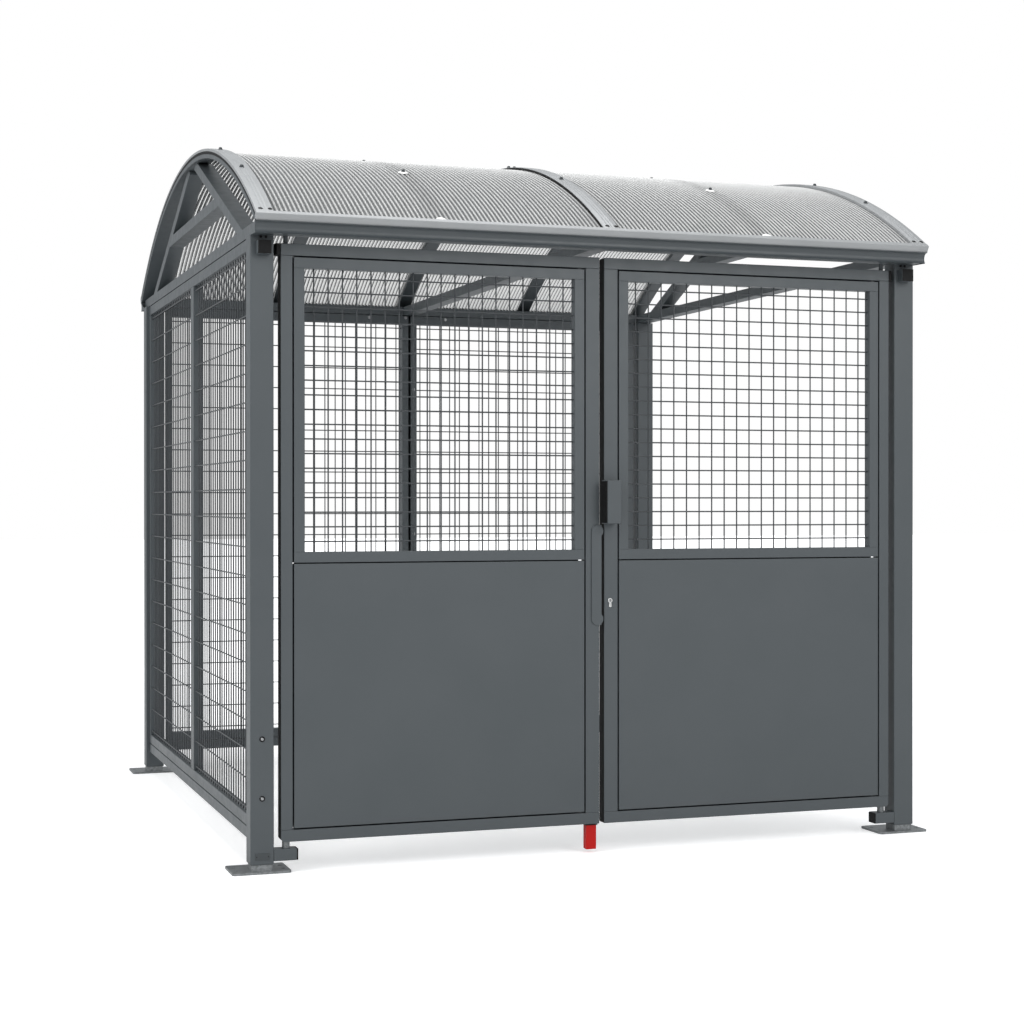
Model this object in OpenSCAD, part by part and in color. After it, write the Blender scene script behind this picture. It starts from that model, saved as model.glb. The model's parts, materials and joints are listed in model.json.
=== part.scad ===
// Bicycle shelter: steel frame on foot plates, mesh walls, two swing leaves
// and a barrel roof of corrugated sheet carried by arched ribs and two trusses.
// Millimetres, +Z up. X runs along the front from left to right, Y from the
// front to the back. The origin is on the ground, in the middle of the plan.

/* [Plan and height] */
// Width over the outer faces of the corner posts
shelter_w = 2520; // [2300:10:3000]
// Depth from the front face of the front posts to the back face of the back posts
shelter_d = 2760; // [2200:10:3200]
// Height of the top of the posts above the ground
post_top = 2161; // [1900:1:2400]
// Rise of the roof from its lower edge to its crown
roof_rise = 422; // [300:1:600]
// Reach of the roof past the posts, front and back
roof_reach = 121; // [115:1:160]

/* [Posts and feet] */
// Width of a post along the front
post_w = 80; // [60:1:100]
// Depth of a post
post_t = 80; // [70:1:90]
// Width of the post in the middle of the back wall
mid_post_w = 60; // [50:1:90]
// Depth of the post in the middle of the back wall
mid_post_t = 40; // [30:1:50]
// Height of the lower end of a post above the ground
post_gap = 31; // [20:1:40]
// Width of a foot plate
foot_w = 200; // [180:1:240]
// Depth of a foot plate
foot_d = 165; // [150:1:180]
// Thickness of a foot plate
foot_t = 8; // [6:1:12]
// Radius of the corners of a foot plate
foot_round = 12; // [6:1:20]
// Distance between the bolt holes of a foot across the plate
foot_hole_dx = 160; // [140:1:170]
// Distance between the bolt holes of a foot along the plate
foot_hole_dy = 60; // [40:1:70]
// Diameter of a bolt hole in a foot
foot_hole = 14; // [10:1:18]
// Wall of the post that the spigot of the foot fits into
spigot_inset = 5; // [3:1:8]

/* [Walls] */
// Height of every beam, and side of the square tube of the wall frames
bar = 40; // [30:1:50]
// Height of the underside of the base beams above the ground
base_z = 100; // [80:1:160]
// Joint between a wall frame and the beams above and below it
wall_joint = 3; // [0.5:0.5:5]
// Set back of the walls from the outer face of the posts
side_inset = 15; // [5:1:18]
// Gap between the back wall frames and the corner posts
back_gap = 15; // [5:1:20]
// Width of the uprights where the two back frames meet
back_stile = 30; // [25:1:45]
// Joint between the two back frames
back_joint = 12; // [8:1:20]
// Distance between the upright wires of every mesh
wire_pitch = 50; // [40:1:60]
// Distance between the level wires of the wall meshes
wall_wire_rise = 100; // [80:1:120]
// Thickness of a mesh wire
wire = 5; // [4:0.5:6]

/* [Roof] */
// Width of the tie beams, rafters and collars
truss_w = 60; // [40:1:80]
// Width of an arched rib
rib_w = 60; // [40:1:70]
// Height of an arched rib
rib_h = 16; // [12:1:25]
// Depth of the corrugation of the roof sheets
sheet_h = 10; // [8:1:16]
// Width of the cover strips on the roof
cover_w = 60; // [50:1:70]
// Thickness of the cover strips
cover_t = 3; // [2:0.5:3.5]
// Depth of the lips of the cover strips
cover_lip = 11; // [8:1:16]
// Height of the collar above the tie beam, from top to underside
collar_rise = 154; // [100:1:180]
// Distance from the front of the posts to the foot of a rafter
rafter_foot = 240; // [150:5:400]
// Half the distance between the rafters where they meet the rib
rafter_top = 70; // [40:5:120]

/* [Leaves] */
// Gap between a front post and its leaf
jamb_gap = 24; // [20:1:30]
// Gap between the two leaves
leaf_gap = 18; // [12:1:24]
// Height of the underside of a leaf above the ground
leaf_z = 104; // [100:1:140]
// Gap between the top of the posts and the top of a leaf
leaf_drop = 30; // [26:1:50]
// Thickness of a leaf
leaf_t = 50; // [40:1:56]
// Width of the rails and the hinge stile of a leaf
leaf_bar = 40; // [35:1:45]
// Width of the stile where the leaves meet
meeting_bar = 52; // [50:1:60]
// Width of the shadow joint round the infill of a leaf
groove = 5; // [3:1:7]
// Depth of the shadow joint
groove_d = 40; // [20:1:44]
// Width of the infill frame round the mesh
infill_bar = 36; // [30:1:42]
// Height of the top of the lower panel above the ground
lower_top = 1046; // [800:1:1200]
// Thickness of the sheet of the lower panel
sheet_t = 2; // [1.5:0.5:4]
// Distance from the edge of a leaf to its pivot
pivot_in = 21; // [18:1:24]
// Diameter of the lower pivot pin
pin_low = 26; // [20:1:30]
// Diameter of the upper pivot pin
pin_high = 16; // [10:1:18]

/* [Lock and bolt] */
// Height of the middle of the handle block above the ground
handle_z = 1256; // [1100:1:1300]
// Height of the handle block
handle_h = 155; // [120:1:180]
// Width of the handle block
handle_w = 55; // [45:1:60]
// Depth of the handle block
handle_d = 66; // [40:1:80]
// Height of the cover plate under the handle
cover_plate_h = 358; // [250:1:400]
// Height of the lock above the ground
lock_z = 895; // [850:1:950]
// Width of the floor bolt
bolt_w = 38; // [25:1:38]
// Depth of the floor bolt
bolt_d = 30; // [20:1:34]
// Length of the floor bolt
bolt_len = 250; // [200:1:300]
// Height of the lower end of the floor bolt above the ground
bolt_z = 12; // [8:1:20]
// Travel of the floor bolt
bolt_travel = 100; // [60:1:110]

/* [Hidden] */
// clearances: pieces that only rest on each other, and a sliding bolt
seat = 0.3;
slide = 0.5;
eps = 0.01;

// planes of the plan
half_w = shelter_w / 2;
half_d = shelter_d / 2;
front = -half_d;
beam_z = post_top;
beam_top = beam_z + bar;

// roof arc, about an axis along X
roof_edge_z = post_top + 52;
roof_chord = half_d + roof_reach;
roof_r = (roof_chord * roof_chord + roof_rise * roof_rise) / (2 * roof_rise);
roof_axis = roof_edge_z + roof_rise - roof_r;
roof_half = asin(roof_chord / roof_r);
sheet_out = roof_r - cover_lip - seat;
sheet_in = sheet_out - sheet_h;
rib_out = sheet_in - seat;
rib_in = rib_out - rib_h;

// eave profile, as distance in front of the posts and height
eave_flange = 6;
eave_in = 80;
eave_lip = 91;
eave_top = post_top + 29;
cove_r = 22.6;
cove_reach = 107;
cove_z = post_top + 7;
ledge_t = 2;
ledge_out = 112;
rib_half = acos((eave_top + seat - roof_axis) / rib_in);
tie_reach = rib_in * sin(acos((beam_top + seat - roof_axis) / rib_in)) - half_d;
edge_trim_deg = 0.42;
edge_in = (eave_top + seat - roof_axis) / cos(roof_half);
seat_deg = seat / rib_in * 180 / PI;
sheet_half = roof_half - edge_trim_deg - seat_deg;
rib_clear = max(rib_half, sheet_half) + seat_deg;

// side wall
side_x = -half_w + side_inset;
wall_z0 = base_z + bar + wall_joint;
wall_z1 = post_top - wall_joint;
mullion_w = 70;
side_y0 = front + post_t;
side_y1 = half_d - post_t;
side_stile = 36;

// back wall
back_y1 = half_d - side_inset;
back_y0 = back_y1 - bar;
back_x0 = -half_w + post_w + back_gap;
back_mid = back_joint / 2;
beam_in = side_inset + truss_w;

// leaves, written for the left one; the right one is its mirror
leaf_x0 = -half_w + post_w + jamb_gap;
leaf_x1 = -leaf_gap / 2;
leaf_z1 = post_top - leaf_drop;
leaf_y1 = front + leaf_t;
infill_x0 = leaf_x0 + leaf_bar + groove;
infill_x1 = leaf_x1 - meeting_bar - groove;
infill_z1 = leaf_z1 - leaf_bar - groove;
panel_z0 = leaf_z + leaf_bar + groove;
mesh_z0 = lower_top + groove - 1;
cross_z = lower_top + (groove - 1) / 2;
rebate = groove + 12;
pivot_x = leaf_x0 + pivot_in;
pivot_y = front + leaf_t / 2;
bearing_r = jamb_gap + pivot_in - 5;

// pivots and stops on the posts
arm_z0 = 41;
arm_h = 40;
arm_out = 78;
arm_cap = 5;
block_w = 46;
block_d = 39;
block_top = leaf_z1 + 4;
plate_t = 6;

// floor bolt inside the meeting stile
bolt_x0 = leaf_x1 - meeting_bar + 5;
bolt_y0 = pivot_y - bolt_d / 2;
shaft_top = bolt_z + bolt_len + bolt_travel + 10;

// colours
steel = [0.35, 0.37, 0.38];
galvanised = [0.68, 0.69, 0.69];
aluminium = [0.78, 0.79, 0.79];
sheet_col = [0.80, 0.82, 0.82];
black = [0.11, 0.11, 0.11];
red = [0.72, 0.12, 0.10];

// ---------- helpers ----------

// box from its lowest to its highest corner
module box(lo, hi) {
    translate(lo) cube(hi - lo);
}

// pie slice of a ring about the roof's axis, half_deg to each side of the crown
module roof_ring(x0, x1, r0, r1, half_deg) {
    translate([0, 0, roof_axis])
        rotate([0, 0, 90])
            rotate([90, 0, 0])
                rotate([0, 0, 90 - half_deg])
                    rotate_extrude(angle = 2 * half_deg, $fn = 360)
                        translate([r0, x0]) square([r1 - r0, x1 - x0]);
}

// flat bar between two points of a YZ plane, from x0 to x0 + truss_w
module slanted_bar(x0, p, q) {
    run = q - p;
    translate([x0, p[0], p[1]])
        rotate([atan2(run[1], run[0]), 0, 0])
            translate([0, 0, -bar / 2]) cube([truss_w, norm(run), bar]);
}

// rectangular frame in the XZ plane
module frame_xz(x0, x1, z0, z1, y0, y1, left, right, low, high) {
    difference() {
        box([x0, y0, z0], [x1, y1, z1]);
        box([x0 + left, y0 - 1, z0 + low], [x1 - right, y1 + 1, z1 - high]);
    }
}

// welded mesh in the XZ plane: a thin sheet with one window between each pair of wires
module mesh_xz(x0, x1, z0, z1, y0, px, pz, first_x, first_z) {
    nx = floor((x1 - x0 - first_x) / px);
    nz = floor((z1 - z0 - first_z) / pz);
    difference() {
        box([x0, y0, z0], [x1, y0 + wire, z1]);
        for (i = [-1:nx], j = [-1:nz]) {
            wx0 = i < 0 ? x0 + wire : x0 + first_x + i * px + wire / 2;
            wx1 = i == nx ? x1 - wire : x0 + first_x + (i + 1) * px - wire / 2;
            wz0 = j < 0 ? z0 + wire : z0 + first_z + j * pz + wire / 2;
            wz1 = j == nz ? z1 - wire : z0 + first_z + (j + 1) * pz - wire / 2;
            if (wx1 - wx0 > 1 && wz1 - wz0 > 1)
                box([wx0, y0 - 1, wz0], [wx1, y0 + wire + 1, wz1]);
        }
    }
}

// ---------- feet and posts ----------

// plate with four bolt holes, and the spigot for a post with its low corner at
// [px, py], w wide and t deep
module foot(plate_y, px, py, w, t) {
    cx = px + w / 2;
    cy = plate_y + foot_d / 2;
    color(galvanised) union() {
        difference() {
            union() {
                box([cx - foot_w / 2 + foot_round, plate_y, 0],
                    [cx + foot_w / 2 - foot_round, plate_y + foot_d, foot_t]);
                box([cx - foot_w / 2, plate_y + foot_round, 0],
                    [cx + foot_w / 2, plate_y + foot_d - foot_round, foot_t]);
                for (sx = [-1, 1], sy = [-1, 1])
                    translate([cx + sx * (foot_w / 2 - foot_round), cy + sy * (foot_d / 2 - foot_round), 0])
                        cylinder(r = foot_round, h = foot_t, $fn = 64);
            }
            for (sx = [-1, 1], sy = [-1, 1])
                translate([cx + sx * foot_hole_dx / 2, cy + sy * foot_hole_dy / 2, -1])
                    cylinder(d = foot_hole, h = foot_t + 2, $fn = 48);
        }
        box([px + spigot_inset, py + spigot_inset, foot_t],
            [px + w - spigot_inset, py + t - spigot_inset, post_gap]);
    }
}

module post(px, py, w, t, top) {
    color(steel) box([px, py, post_gap], [px + w, py + t, top]);
}

left_post_x = -half_w;
right_post_x = half_w - post_w;
mid_post_x = -mid_post_w / 2;
back_post_y = half_d - post_t;
front_plate_y = front - 5;
back_plate_y = back_post_y - 5;

module foot_front_left() foot(front_plate_y, left_post_x, front, post_w, post_t);
module foot_front_right() foot(front_plate_y, right_post_x, front, post_w, post_t);
module foot_back_left() foot(back_plate_y, left_post_x, back_post_y, post_w, post_t);
module foot_back_middle() foot(back_plate_y, mid_post_x, back_y1, mid_post_w, mid_post_t);
module foot_back_right() foot(back_plate_y, right_post_x, back_post_y, post_w, post_t);

module post_front_left() post(left_post_x, front, post_w, post_t, post_top);
module post_front_right() post(right_post_x, front, post_w, post_t, post_top);
module post_back_left() post(left_post_x, back_post_y, post_w, post_t, post_top);
module post_back_right() post(right_post_x, back_post_y, post_w, post_t, post_top);
// this one stands behind the wall frames and ends under the eave
module post_back_middle()
    post(mid_post_x, back_y1, mid_post_w, mid_post_t, post_top - eave_flange);

// ---------- side wall ----------

module side_base_beam() {
    color(steel) box([side_x, side_y0, base_z], [side_x + bar, side_y1, base_z + bar]);
}

mullion_y = (side_y0 + side_y1) / 2;

module side_panel_frame() {
    color(steel) difference() {
        box([side_x, side_y0, wall_z0], [side_x + bar, side_y1, wall_z1]);
        box([side_x - 1, side_y0 + side_stile, wall_z0 + bar],
            [side_x + bar + 1, mullion_y - mullion_w / 2, wall_z1 - bar]);
        box([side_x - 1, mullion_y + mullion_w / 2, wall_z0 + bar],
            [side_x + bar + 1, side_y1 - side_stile, wall_z1 - bar]);
    }
}

// wall wires: the lowest lies this far above the lower rail
first_wall_wire = 17;
mesh_in = 8;

module side_mesh(y0, y1) {
    color(steel)
        translate([side_x + mesh_in, 0, 0])
            rotate([0, 0, 90]) mirror([0, 1, 0])
                mesh_xz(y0, y1, wall_z0 + bar, wall_z1 - bar, 0, wire_pitch, wall_wire_rise,
                        wire_pitch / 2, first_wall_wire);
}
module side_mesh_front() side_mesh(side_y0 + side_stile, mullion_y - mullion_w / 2);
module side_mesh_back() side_mesh(mullion_y + mullion_w / 2, side_y1 - side_stile);

// ---------- back wall ----------

module back_base_beams() {
    color(steel) for (s = [0, 1]) mirror([s, 0, 0])
        box([-half_w + post_w, back_y0, base_z], [-seat, back_y1, base_z + bar]);
}

module back_top_beams() {
    color(steel) for (s = [0, 1]) mirror([s, 0, 0])
        box([-half_w + beam_in, back_y0, beam_z], [-truss_w / 2, back_y1, beam_top]);
}

module back_panel_frame() {
    color(steel)
        frame_xz(back_x0, -back_mid, wall_z0, wall_z1, back_y0, back_y1,
                 back_stile, back_stile, bar, bar);
}
module back_panel_frame_left() back_panel_frame();
module back_panel_frame_right() mirror([1, 0, 0]) back_panel_frame();

module back_mesh() {
    color(steel)
        mesh_xz(back_x0 + back_stile, -back_mid - back_stile, wall_z0 + bar, wall_z1 - bar,
                back_y1 - mesh_in - wire, wire_pitch, wall_wire_rise, wire_pitch / 2,
                first_wall_wire);
}
module back_mesh_left() back_mesh();
module back_mesh_right() mirror([1, 0, 0]) back_mesh();

// ---------- trusses and roof ----------

rafter_low = [front + rafter_foot, beam_top - bar / 2];
rafter_high = [-rafter_top, roof_axis + rib_in];
collar_top = beam_top + collar_rise + bar;

module rafters(x0) {
    difference() {
        intersection() {
            union() for (s = [0, 1]) mirror([0, s, 0]) slanted_bar(x0, rafter_low, rafter_high);
            translate([x0 - 1, 0, roof_axis]) rotate([0, 90, 0])
                cylinder(r = rib_in - seat, h = truss_w + 2, $fn = 360);
        }
        box([x0 - 1, -half_d, beam_z - bar], [x0 + truss_w + 1, half_d, beam_top - eps]);
    }
}

// where the middle of a rafter passes the middle of the collar
function rafter_y(z) = rafter_low[0]
    + (rafter_high[0] - rafter_low[0]) * (z - rafter_low[1]) / (rafter_high[1] - rafter_low[1]);
collar_y = -rafter_y(collar_top - bar / 2);

module tie_beam(x0) {
    box([x0, front - tie_reach, beam_z], [x0 + truss_w, half_d + tie_reach, beam_top]);
}

module truss(x0) {
    color(steel) union() {
        tie_beam(x0);
        rafters(x0);
        box([x0, -collar_y, collar_top - bar], [x0 + truss_w, collar_y, collar_top]);
    }
}
module truss_left() truss(side_x);
module truss_right() mirror([1, 0, 0]) truss(side_x);
module tie_beam_middle() color(steel) tie_beam(-truss_w / 2);

module arch(x0) {
    color(steel) roof_ring(x0, x0 + rib_w, rib_in, rib_out, rib_half);
}
bay_x = half_w / 2 - rib_w / 4;
module arch_left() arch(-half_w);
module arch_middle() arch(-rib_w / 2);
module arch_right() arch(half_w - rib_w);
module arches_mid_bay() {
    for (s = [-1, 1]) arch(s * bay_x - rib_w / 2);
}

// half section of an eave: flange under the tie beams, coved face, ledge on top
cove_low = -asin((cove_z - (post_top - eave_flange) + 3) / cove_r);
cove_high = asin((eave_top - ledge_t - cove_z) / cove_r);
eave_outline = concat(
    [[0, post_top], [0, post_top - eave_flange], [eave_lip - 3, post_top - eave_flange]],
    [for (i = [0:10])
        let (a = cove_low + (cove_high - cove_low) * i / 10)
        [cove_reach - cove_r * cos(a), cove_z + cove_r * sin(a)]],
    [[ledge_out, eave_top - ledge_t], [ledge_out, eave_top], [eave_in, eave_top], [eave_in, post_top]]
);

module eave() {
    color(steel)
        translate([-half_w, front, 0])
            rotate([90, 0, 90])
                linear_extrude(shelter_w) mirror([1, 0, 0]) polygon(eave_outline);
}
module eave_front() eave();
module eave_back() mirror([0, 1, 0]) eave();

// bar that closes the lower end of the sheets and stands on the ledge of the eave
module edge_trim() {
    color(aluminium) intersection() {
        difference() {
            roof_ring(-half_w, half_w, edge_in, roof_r, roof_half);
            roof_ring(-half_w - 1, half_w + 1, edge_in - 1, roof_r + 1, roof_half - edge_trim_deg);
            roof_ring(-half_w - 1, half_w + 1, edge_in - 1, sheet_in, rib_clear);
        }
        box([-half_w - 1, -2 * half_d, 0], [half_w + 1, 0, 2 * post_top]);
    }
}
module edge_trim_front() edge_trim();
module edge_trim_back() mirror([0, 1, 0]) edge_trim();

// a roof sheet, as the space that its corrugation fills
sheet_in_end = 10;
module roof_sheet() {
    color(sheet_col) roof_ring(-half_w + sheet_in_end, -seat, sheet_in, sheet_out, sheet_half);
}
module roof_sheet_left() roof_sheet();
module roof_sheet_right() mirror([1, 0, 0]) roof_sheet();

// strip over the sheets with a lip along each edge
module cover_strip(x0) {
    color(aluminium) union() {
        roof_ring(x0, x0 + cover_w, roof_r - cover_t, roof_r, sheet_half);
        roof_ring(x0, x0 + cover_t, roof_r - cover_lip, roof_r, sheet_half);
        roof_ring(x0 + cover_w - cover_t, x0 + cover_w, roof_r - cover_lip, roof_r, sheet_half);
    }
}
module end_trim_left() cover_strip(-half_w);
module end_trim_right() mirror([1, 0, 0]) cover_strip(-half_w);
module joint_cover() cover_strip(-cover_w / 2);

// ---------- pivots and stops ----------

module pivot_arm() {
    arm_x0 = -half_w + post_w;
    color(steel) union() {
        box([arm_x0, front, arm_z0], [arm_x0 + arm_out, leaf_y1, arm_z0 + arm_h]);
        translate([pivot_x, pivot_y, arm_z0 + arm_h])
            cylinder(d = pin_low, h = leaf_z - seat - arm_z0 - arm_h, $fn = 64);
    }
    color(black) box([arm_x0 + arm_out, front, arm_z0],
                     [arm_x0 + arm_out + arm_cap, leaf_y1, arm_z0 + arm_h]);
}
module pivot_arm_left() pivot_arm();
module pivot_arm_right() mirror([1, 0, 0]) pivot_arm();

// plate on top of the post, beside the tie beam, that holds the upper pin
module top_pivot() {
    color(steel) union() {
        box([side_x + truss_w + seat, front, beam_z], [pivot_x + bar, leaf_y1, beam_z + plate_t]);
        translate([pivot_x, pivot_y, leaf_z1 + seat])
            cylinder(d = pin_high, h = beam_z - leaf_z1 - seat, $fn = 64);
    }
}
module top_pivot_left() top_pivot();
module top_pivot_right() mirror([1, 0, 0]) top_pivot();

module stop_block() {
    x0 = -half_w + (post_w - block_w) / 2 + 3;
    color(steel) box([x0, front - block_d + 3, block_top - block_w], [x0 + block_w, front, block_top]);
    color(black)
        box([x0, front - block_d, block_top - block_w], [x0 + block_w, front - block_d + 3, block_top]);
}
module stop_block_left() stop_block();
module stop_block_right() mirror([1, 0, 0]) stop_block();

// bare plate low on the left front post
module nameplate() {
    color(aluminium) box([-half_w + 16, front - 1.5, 47], [-half_w + 66, front, 71]);
}

// ---------- leaves ----------

module leaf_frame(with_bolt) {
    chamfer = 9;
    color(steel) difference() {
        box([leaf_x0, front, leaf_z], [leaf_x1, leaf_y1, leaf_z1]);
        // front of the joint and the infill
        box([leaf_x0 + leaf_bar, front - 1, leaf_z + leaf_bar],
            [leaf_x1 - meeting_bar, front + groove_d, leaf_z1 - leaf_bar]);
        // through openings behind the lower panel and behind the mesh
        box([leaf_x0 + leaf_bar + rebate, front - 1, leaf_z + leaf_bar + rebate],
            [leaf_x1 - meeting_bar - rebate, leaf_y1 + 1, cross_z - rebate]);
        box([leaf_x0 + leaf_bar + rebate, front - 1, cross_z + rebate],
            [leaf_x1 - meeting_bar - rebate, leaf_y1 + 1, leaf_z1 - leaf_bar - rebate]);
        // chamfered lower hinge corner
        translate([leaf_x0, front - 1, leaf_z]) rotate([0, 45, 0])
            cube([chamfer * sqrt(2), 2 * (leaf_t + 2), chamfer * sqrt(2)], center = true);
        // shaft for the floor bolt
        if (with_bolt)
            box([bolt_x0 - slide, bolt_y0 - slide, leaf_z - 1],
                [bolt_x0 + bolt_w + slide, bolt_y0 + bolt_d + slide, shaft_top]);
    }
}
module left_leaf_frame() leaf_frame(true);
module right_leaf_frame() mirror([1, 0, 0]) leaf_frame(false);

module infill_frame() {
    color(steel)
        frame_xz(infill_x0, infill_x1, mesh_z0, infill_z1, front, front + groove_d,
                 infill_bar, infill_bar, infill_bar, infill_bar);
}
module left_infill_frame() infill_frame();
module right_infill_frame() mirror([1, 0, 0]) infill_frame();

module leaf_mesh() {
    x0 = infill_x0 + infill_bar;
    x1 = infill_x1 - infill_bar;
    n = floor((x1 - x0 - wire_pitch / 2) / wire_pitch);
    color(steel)
        mesh_xz(x0, x1, mesh_z0 + infill_bar, infill_z1 - infill_bar, front + groove_d / 2,
                wire_pitch, wire_pitch, (x1 - x0 - n * wire_pitch) / 2, wire_pitch * 0.7);
}
module left_leaf_mesh() leaf_mesh();
module right_leaf_mesh() mirror([1, 0, 0]) leaf_mesh();

// sheet folded back on all four sides
module lower_panel() {
    color(steel) difference() {
        box([infill_x0, front, panel_z0], [infill_x1, front + groove_d, lower_top]);
        box([infill_x0 + sheet_t, front + sheet_t, panel_z0 + sheet_t],
            [infill_x1 - sheet_t, front + groove_d + 1, lower_top - sheet_t]);
    }
}
module left_lower_panel() lower_panel();
module right_lower_panel() mirror([1, 0, 0]) lower_panel();

// rounded bearing on the hinge edge of the top rail
module top_bearing() {
    color(black) intersection() {
        translate([pivot_x, pivot_y, leaf_z1 - leaf_bar])
            cylinder(r = bearing_r, h = leaf_bar, $fn = 96);
        box([leaf_x0 - bearing_r, front + 4, leaf_z], [leaf_x0, leaf_y1 - 4, leaf_z1 + 1]);
    }
}
module left_top_bearing() top_bearing();
module right_top_bearing() mirror([1, 0, 0]) top_bearing();

// ---------- lock, handle and bolt ----------

plate_w = 37;
plate_d = 5;
plate_round = 22;
plate_x1 = -3;
plate_top = handle_z - handle_h / 2 - 5;

// plate over the joint of the leaves, round at its two outer corners
module cover_plate() {
    color(steel)
        translate([plate_x1 - plate_w, front, plate_top - cover_plate_h])
            rotate([90, 0, 0]) linear_extrude(plate_d) union() {
                translate([plate_round, 0]) square([plate_w - plate_round, cover_plate_h]);
                translate([0, plate_round]) square([plate_w, cover_plate_h - 2 * plate_round]);
                for (z = [plate_round, cover_plate_h - plate_round])
                    translate([plate_round, z]) circle(r = plate_round, $fn = 64);
            }
}

handle_x0 = -leaf_gap / 2 + 5;
module handle_block() {
    color(steel) box([handle_x0, front - handle_d, handle_z - handle_h / 2],
                     [handle_x0 + handle_w, front, handle_z + handle_h / 2]);
}

// profile cylinder: a round head over a narrow body
lock_x = leaf_gap / 2 + 22;
module lock_cylinder() {
    color(galvanised) translate([lock_x, front, lock_z]) rotate([90, 0, 0]) {
        translate([0, 8, 0]) cylinder(d = 17, h = 4, $fn = 64);
        translate([-5, -16.5, 0]) cube([10, 24, 4]);
    }
}

module floor_bolt() {
    color(red) box([bolt_x0, bolt_y0, bolt_z],
                   [bolt_x0 + bolt_w, bolt_y0 + bolt_d, bolt_z + bolt_len]);
}

// ---------- nodes ----------

foot_front_left();
foot_front_right();
foot_back_left();
foot_back_middle();
foot_back_right();
post_front_left();
post_front_right();
post_back_left();
post_back_middle();
post_back_right();
side_base_beam();
side_panel_frame();
side_mesh_front();
side_mesh_back();
back_base_beams();
back_top_beams();
back_panel_frame_left();
back_panel_frame_right();
back_mesh_left();
back_mesh_right();
truss_left();
truss_right();
tie_beam_middle();
arch_left();
arch_middle();
arch_right();
arches_mid_bay();
eave_front();
eave_back();
edge_trim_front();
edge_trim_back();
roof_sheet_left();
roof_sheet_right();
end_trim_left();
end_trim_right();
joint_cover();
pivot_arm_left();
pivot_arm_right();
top_pivot_left();
top_pivot_right();
stop_block_left();
stop_block_right();
nameplate();
left_leaf_frame();
left_infill_frame();
left_leaf_mesh();
left_lower_panel();
left_top_bearing();
cover_plate();
floor_bolt();
right_leaf_frame();
right_infill_frame();
right_leaf_mesh();
right_lower_panel();
right_top_bearing();
handle_block();
lock_cylinder();
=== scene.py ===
"""Looks of the bicycle shelter: finer pieces, materials, light and camera around its fixed frame.

Metres, +Z up, X from the left post to the right one, Y from the leaves to the back wall.
"""

import json
import math

import bmesh
import bpy
import numpy as np
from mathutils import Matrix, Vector


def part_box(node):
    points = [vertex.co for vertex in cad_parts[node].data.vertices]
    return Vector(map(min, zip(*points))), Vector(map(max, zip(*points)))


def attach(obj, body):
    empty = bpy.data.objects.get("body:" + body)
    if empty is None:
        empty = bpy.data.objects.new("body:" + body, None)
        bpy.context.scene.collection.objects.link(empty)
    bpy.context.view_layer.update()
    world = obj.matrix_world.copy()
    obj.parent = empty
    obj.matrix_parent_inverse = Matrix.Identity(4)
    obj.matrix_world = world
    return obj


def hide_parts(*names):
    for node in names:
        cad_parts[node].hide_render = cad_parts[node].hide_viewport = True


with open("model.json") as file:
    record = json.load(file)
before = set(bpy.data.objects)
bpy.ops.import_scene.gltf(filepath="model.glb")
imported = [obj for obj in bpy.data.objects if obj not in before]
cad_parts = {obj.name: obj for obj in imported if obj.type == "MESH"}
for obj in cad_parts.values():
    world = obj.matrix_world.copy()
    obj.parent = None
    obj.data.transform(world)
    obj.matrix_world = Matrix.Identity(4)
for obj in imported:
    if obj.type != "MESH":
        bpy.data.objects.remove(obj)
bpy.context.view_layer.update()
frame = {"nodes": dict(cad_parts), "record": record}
MM = 0.001
PITCH = 16.4 * MM       # wave length of the roof sheets


# ---------- materials ----------

def linear(hex_colour):
    """sRGB hex colour as linear RGBA."""
    parts = [int(hex_colour[i:i + 2], 16) / 255 for i in (0, 2, 4)]
    return [c / 12.92 if c <= 0.04045 else ((c + 0.055) / 1.055) ** 2.4 for c in parts] + [1.0]


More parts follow.
